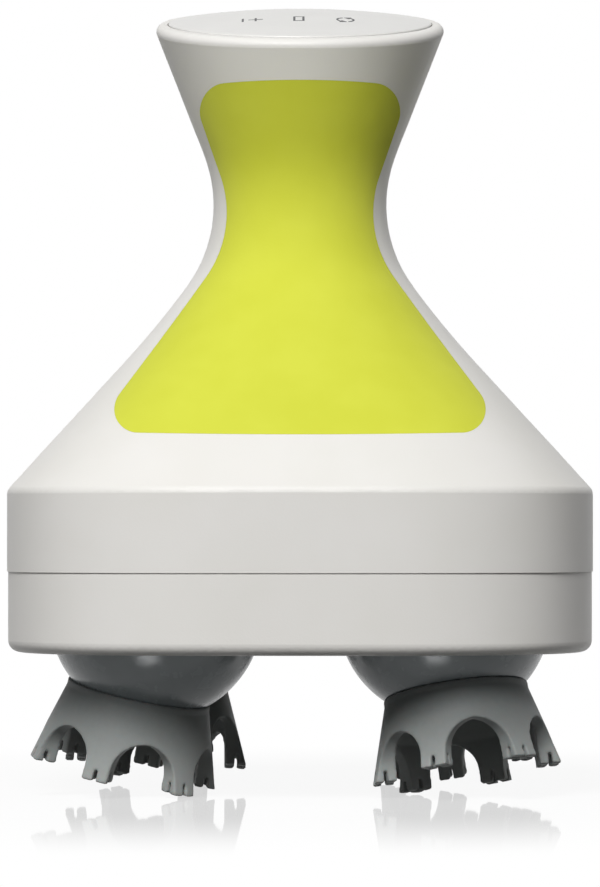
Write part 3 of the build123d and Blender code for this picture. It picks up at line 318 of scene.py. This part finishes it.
def brushed_metal(name, dark, light, roughness, groove):
    """A bright metal with fine rings left by turning, groove apart, and rougher between them."""
    material, tree, shader, place = new_finish(name, Metallic=1.0)
    rings = add_node(
        tree,
        "TexWave",
        values={"Scale": 1 / groove, "Distortion": 1.5, "Detail": 2.0},
        links={"Vector": place},
        wave_type="BANDS",
        bands_direction="Z",
    ).outputs["Fac"]
    tone = lumps(tree, place, 3 * MM, detail=3.0)
    colour_between(tree, shader, tone, dark, light)
    roughness_between(tree, shader, rings, roughness, roughness + ring_roughness, span=(0, 1))
    raise_surface(tree, shader, rings, 0.004 * MM)
    return material


def turned_steel():
    """Ground carbon steel of shafts, pins and the motor can: bright with fine turning rings."""
    return brushed_metal("turned_steel", "#A9ABAE", "#B9BBBE", 0.28, 0.5 * MM)


def zinc_plate():
    """Bright zinc plate on screws: a cool shine with a faint blue cast."""
    return brushed_metal("zinc_plate", "#AEB4BA", "#C3C8CD", 0.24, 0.35 * MM)


def sintered_bronze():
    """Oil-soaked sintered bronze bushes: brown gold and finely porous."""
    material, tree, shader, place = new_finish("sintered_bronze", Metallic=1.0)
    pores = lumps(tree, place, 0.3 * MM, detail=4.0)
    colour_between(tree, shader, pores, "#8A6436", "#B18850")
    roughness_between(tree, shader, pores, 0.35, 0.5)
    raise_surface(tree, shader, pores, 0.01 * MM)
    return material


def nickel_plate():
    """Nickel plate on contacts and the charging shell: warm silver, rolled along its length."""
    return brushed_metal("nickel_plate", "#B4AEA2", "#C6C0B5", 0.2, 0.3 * MM)


def solder_mask():
    """Glass epoxy board under green solder mask, with the weave just showing."""
    material, tree, shader, place = new_finish("solder_mask", IOR=1.5, Coat_Weight=0.3, Coat_Roughness=0.15)
    weave = add_node(tree, "TexChecker", values={"Scale": 1 / (0.5 * MM)}, links={"Vector": place})
    weave.inputs["Color1"].default_value = linear("#175C36")
    weave.inputs["Color2"].default_value = linear("#1B653C")
    tree.links.new(weave.outputs["Color"], shader.inputs["Base Color"])
    raise_surface(tree, shader, weave.outputs["Fac"], 0.005 * MM)
    return material


def moulding_epoxy():
    """Black moulding compound of chips and capacitors: matte with a fine grain."""
    material, tree, shader, place = new_finish("moulding_epoxy", IOR=1.55)
    grain = lumps(tree, place, 0.3 * MM, detail=3.0)
    colour_between(tree, shader, grain, "#202123", "#2C2D2F")
    roughness_between(tree, shader, grain, 0.45, 0.6)
    raise_surface(tree, shader, grain, 0.01 * MM)
    return material


def key_rubber():
    """Translucent grey silicone of the key mat: soft and matte."""
    material, tree, shader, place = new_finish(
        "key_rubber", IOR=1.41, Subsurface_Weight=0.3, Subsurface_Scale=1 * MM
    )
    haze = lumps(tree, place, 2 * MM)
    colour_between(tree, shader, haze, "#B9BDBE", "#C6CACB")
    roughness_between(tree, shader, haze, 0.5, 0.62)
    raise_surface(tree, shader, lumps(tree, place, 0.3 * MM), 0.008 * MM)
    return material


def clear_epoxy():
    """Water-clear epoxy of the light, with a soft haze inside."""
    material, tree, shader, place = new_finish("clear_epoxy", IOR=1.54, Transmission_Weight=0.7)
    haze = lumps(tree, place, 0.8 * MM)
    colour_between(tree, shader, haze, "#E4EEF2", "#F4F8FA")
    roughness_between(tree, shader, haze, 0.08, 0.2)
    return material


def cell_sleeve():
    """Heat-shrunk PVC sleeve of the battery cell: blue and glossy, with slack ripples."""
    material, tree, shader, place = new_finish("cell_sleeve", IOR=1.52)
    ripples = lumps(tree, place, 3 * MM, detail=2.0)
    colour_between(tree, shader, ripples, "#2B5C97", "#33689F")
    roughness_between(tree, shader, ripples, 0.2, 0.32)
    raise_surface(tree, shader, ripples, 0.04 * MM)
    return material


def wire_pvc():
    """Red PVC insulation of the leads: satin, drawn out of its die with faint lines."""
    material, tree, shader, place = new_finish("wire_pvc", IOR=1.53)
    lines = lumps(tree, place, 0.4 * MM, detail=2.0)
    colour_between(tree, shader, lines, "#A3201F", "#B32826")
    roughness_between(tree, shader, lines, 0.32, 0.42)
    raise_surface(tree, shader, lines, 0.006 * MM)
    return material


def pad_ink():
    """Dark grey pad-printing ink on the control plate: thin, matte and slightly uneven."""
    material, tree, shader, place = new_finish("pad_ink", IOR=1.5)
    cover = lumps(tree, place, 0.5 * MM, detail=3.0)
    colour_between(tree, shader, cover, "#3C3D3F", "#4A4B4D")
    roughness_between(tree, shader, cover, 0.5, 0.65)
    return material


slot_finishes = {
    "white_housing": moulded_white_abs(),
    "green_grip": soft_touch_lime(),
    "control_face": satin_control_abs(),
    "ball_grey": polished_grey_abs(),
    "claw_silicone": matte_grey_silicone(),
    "seal_rubber": black_rubber(),
    "gasket_silicone": pale_silicone(),
    "inner_plastic": natural_abs(),
    "gear_plastic": acetal(),
    "steel": turned_steel(),
    "zinc_screw": zinc_plate(),
    "bronze": sintered_bronze(),
    "nickel": nickel_plate(),
    "board_green": solder_mask(),
    "component_black": moulding_epoxy(),
    "key_silicone": key_rubber(),
    "light_lens": clear_epoxy(),
    "cell_wrap": cell_sleeve(),
    "wire_red": wire_pvc(),
}
for node in nodes.values():
    for holder in node.material_slots:
        holder.material = slot_finishes[holder.material.name]


# -------------------------------------------------------------------- pieces

def add_piece(name, bm, body, material):
    """Makes a finished bmesh a piece that rides on a body."""
    mesh = bpy.data.meshes.new(name)
    bm.to_mesh(mesh)
    bm.free()
    mesh.materials.append(material)
    piece = bpy.data.objects.new(name, mesh)
    scene.collection.objects.link(piece)
    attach(piece, body)
    return piece


def round_nubs(piece, head):
    """Softens the ends of a claw's fingers once more, so that the small nubs turn out round."""
    low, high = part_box(f"spindle_{head}")
    middle = Vector(((low[0] + high[0]) / 2, (low[1] + high[1]) / 2, ball_middle))
    turn = radians(claw_turns[head])
    axis = Vector((sin(claw_lean) * cos(turn), sin(claw_lean) * sin(turn), -cos(claw_lean)))
    bm = bmesh.new()
    bm.from_mesh(piece.data)
    ends = [vert for vert in bm.verts if (vert.co - middle).dot(axis) > nub_start]
    for _ in range(nub_soften_rounds):
        bmesh.ops.smooth_vert(
            bm, verts=ends, factor=soften_share, use_axis_x=True, use_axis_y=True, use_axis_z=True
        )
    bm.to_mesh(piece.data)
    bm.free()


def soft_claw(head):
    """A claw with the rounded edges of moulded silicone, from its node's own shape."""
    bm = bmesh.new()
    bm.from_mesh(nodes[f"claw_{head}"].data)
    bmesh.ops.remove_doubles(bm, verts=bm.verts, dist=claw_merge)
    piece = add_piece(
        f"silicone_claw_{head}", bm, f"head_{head}", slot_finishes["claw_silicone"]
    )
    remesh = piece.modifiers.new("remesh", "REMESH")
    remesh.mode = "VOXEL"
    remesh.voxel_size = claw_voxel
    remesh.use_smooth_shade = True
    soften = piece.modifiers.new("soften", "SMOOTH")
    soften.factor = soften_share
    soften.iterations = claw_soften_rounds
    finished = bpy.data.meshes.new_from_object(piece.evaluated_get(bpy.context.evaluated_depsgraph_get()))
    piece.modifiers.clear()
    piece.data = finished
    round_nubs(piece, head)
    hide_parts(f"claw_{head}")


for head in heads:
    soft_claw(head)

plate_back = Vector(rock_joint["axis"])
plate_up = Vector((0, -plate_back.z, plate_back.y))
plate_middle = Vector(rock_joint["pos_m"]) + pin_depth * plate_up
crown_radius = (plate_radius**2 + plate_crown**2) / (2 * plate_crown)
ink = pad_ink()


def flat_bar(bm, right, back, width, length):
    """A flat bar, by its middle and its sizes across and from front to back."""
    spread = Matrix.Translation((right, back, 0)) @ Matrix.Diagonal((width / 2, length / 2, 1, 1))
    bmesh.ops.create_grid(bm, x_segments=bar_steps, y_segments=bar_steps, size=1, matrix=spread)


def print_icon(name, bm):
    """Gives a flat icon the ink's thickness and bends it onto the plate's crown."""
    bmesh.ops.recalc_face_normals(bm, faces=bm.faces)
    bmesh.ops.solidify(bm, geom=bm.faces, thickness=ink_thickness)
    low = min(vert.co.z for vert in bm.verts)
    for vert in bm.verts:
        right, back, layer = vert.co.x, vert.co.y, vert.co.z - low
        drop = crown_radius - sqrt(crown_radius**2 - right**2 - back**2)
        height = plate_edge_top + plate_crown - drop + layer
        vert.co = plate_middle + Vector((right, 0, 0)) + back * plate_back + height * plate_up
    bmesh.ops.recalc_face_normals(bm, faces=bm.faces)
    add_piece(name, bm, "control", ink)


def minus_icon():
    """A bar from front to back."""
    bm = bmesh.new()
    flat_bar(bm, minus_right, -icon_forward, icon_stroke, minus_length)
    print_icon("minus_print", bm)


def plus_icon():
    """The minus sign's bar with an arm to each side."""
    bm = bmesh.new()
    flat_bar(bm, plus_right, -icon_forward, icon_stroke, minus_length)
    arm = (plus_width - icon_stroke) / 2
    for side in (-1, 1):
        flat_bar(bm, plus_right + side * (plus_width - arm) / 2, -icon_forward, arm, icon_stroke)
    print_icon("plus_print", bm)


def battery_icon():
    """An upright frame, as on a charge light."""
    bm = bmesh.new()
    for side in (-1, 1):
        across = side * (battery_width - icon_stroke) / 2
        along = side * (battery_length - icon_stroke) / 2
        flat_bar(bm, battery_right + across, -icon_forward, icon_stroke, battery_length)
        flat_bar(bm, battery_right, -icon_forward + along, battery_width - 2 * icon_stroke, icon_stroke)
    print_icon("battery_print", bm)


def turning_icon():
    """Two arrows chasing each other round an oval."""
    bm = bmesh.new()
    inner = 1 - 2 * icon_stroke / turn_width
    middle = (1 + inner) / 2
    for start in ((pi + turn_gap) / 2, (3 * pi + turn_gap) / 2):
        ends = [bm.verts.new((r * cos(start), r * sin(start), 0)) for r in (inner, 1)]
        bmesh.ops.spin(
            bm,
            geom=[bm.edges.new(ends)],
            cent=(0, 0, 0),
            axis=(0, 0, 1),
            angle=pi - turn_gap,
            steps=turn_steps,
        )
        tip = start + pi - turn_gap
        place = Matrix.Translation((middle * cos(tip), middle * sin(tip), 0)) @ Matrix.Rotation(tip, 4, "Z")
        bmesh.ops.create_circle(
            bm, cap_ends=True, segments=arrow_corners, radius=arrow_size, matrix=place
        )
    bmesh.ops.remove_doubles(bm, verts=bm.verts, dist=oval_merge)
    bmesh.ops.scale(bm, vec=(turn_width / 2, turn_length / 2, 1), verts=bm.verts)
    bmesh.ops.translate(bm, vec=(turn_right, -icon_forward, 0), verts=bm.verts)
    print_icon("turning_print", bm)


minus_icon()
plus_icon()
battery_icon()
turning_icon()


# ------------------------------------------------------------ camera, lights

def look_from(thing, place, aim):
    """Puts a camera or a lamp at a place and turns it to a point."""
    thing.location = place
    thing.rotation_mode = "QUATERNION"
    thing.rotation_quaternion = (aim - place).to_track_quat("-Z", "Y")


camera = bpy.data.objects.new("camera", bpy.data.cameras.new("camera"))
camera.data.lens = camera_lens
look_from(camera, camera_place, camera_aim)
scene.collection.objects.link(camera)
scene.camera = camera


def soft_lamp(name, place, aim, width, height, power):
    """A soft box of a width and height, aimed at a point."""
    lamp = bpy.data.objects.new(name, bpy.data.lights.new(name, "AREA"))
    lamp.data.shape = "RECTANGLE"
    lamp.data.size = width
    lamp.data.size_y = height
    lamp.data.energy = power
    look_from(lamp, Vector(place), Vector(aim))
    scene.collection.objects.link(lamp)
    return lamp


# The main light stands high in front, a little to the left
soft_lamp("key_box", (-0.2, -0.98, 0.93), (0, 0, 0.08), 0.5, 0.5, 16.5)
soft_lamp("front_left_box", (-0.75, -0.9, 0.4), (0, 0, 0.02), 0.7, 0.7, 0.35)
soft_lamp("left_box", (-1.15, 0.1, 0.25), (0, 0, 0.06), 0.5, 0.9, 0.75)
soft_lamp("right_box", (1.15, 0.1, 0.25), (0, 0, 0.06), 0.5, 0.9, 0.4)
# The back light only reaches over the top: its glare would draw bright edges down the sides
back_box = soft_lamp("back_box", (0.2, 1.3, 0.12), (0, 0, 0.08), 0.9, 0.3, 4.5)
back_box.visible_glossy = False


def seen_itself(tree):
    """1 where the eye, a mirror or a clear piece sees a thing itself, 0 where it only gives light."""
    rays = add_node(tree, "LightPath").outputs
    eye_or_mirror = {0: rays["Is Camera Ray"], 1: rays["Is Glossy Ray"]}
    seen = add_node(tree, "Math", links=eye_or_mirror, operation="ADD").outputs[0]
    links = {0: seen, 1: rays["Is Transmission Ray"]}
    return add_node(tree, "Math", links=links, operation="ADD", use_clamp=True).outputs[0]


world = bpy.data.worlds.new("world")
scene.world = world
world.use_nodes = True
sky = world.node_tree
background = sky.nodes["Background"]
background.inputs["Color"].default_value = grey(1.0)
# The sky looks pure white and lights the object far less
levels = {"To Min": sky_light, "To Max": 1.0}
strength = add_node(sky, "MapRange", values=levels, links={"Value": seen_itself(sky)})
sky.links.new(strength.outputs["Result"], background.inputs["Strength"])


def pale_floor():
    """White acrylic sheet, evenly white, with a faint shadow and mirror image near the object."""
    material = bpy.data.materials.new("pale_floor")
    material.use_nodes = True
    tree = material.node_tree
    tree.nodes.clear()
    place = add_node(tree, "TexCoord").outputs["Object"]
    reach = add_node(tree, "VectorMath", links={0: place}, operation="LENGTH").outputs["Value"]

    def near_the_object(strength):
        return fade_between(tree, reach, mirror_near, mirror_far, strength, 0.0)

    def mix(share, under, over):
        blend = add_node(tree, "MixShader", links={"Fac": share})
        tree.links.new(under.outputs[0], blend.inputs[1])
        tree.links.new(over.outputs[0], blend.inputs[2])
        return blend

    seen = seen_itself(tree)
    glow = add_node(tree, "Emission", values={"Color": grey(1.0)}, links={"Strength": seen})
    matte = add_node(tree, "BsdfDiffuse", values={"Color": grey(floor_tone)})
    mirror = add_node(tree, "BsdfAnisotropic", values={"Color": grey(1.0), "Roughness": mirror_roughness})
    mirror_share = near_the_object(mirror_strength)
    # A mirror image that is only seen: it throws no lamp light up at the object
    mirror_seen = add_node(tree, "Math", links={0: mirror_share, 1: seen}, operation="MULTIPLY").outputs[0]
    face = mix(mirror_seen, mix(near_the_object(shadow_strength), glow, matte), mirror)
    add_node(tree, "OutputMaterial", links={"Surface": face.outputs[0]})
    return material


floor_bm = bmesh.new()
bmesh.ops.create_grid(floor_bm, x_segments=1, y_segments=1, size=floor_half)
floor_mesh = bpy.data.meshes.new("floor")
floor_bm.to_mesh(floor_mesh)
floor_bm.free()
floor_mesh.materials.append(pale_floor())
floor = bpy.data.objects.new("floor", floor_mesh)
scene.collection.objects.link(floor)

scene.view_settings.view_transform = "Standard"
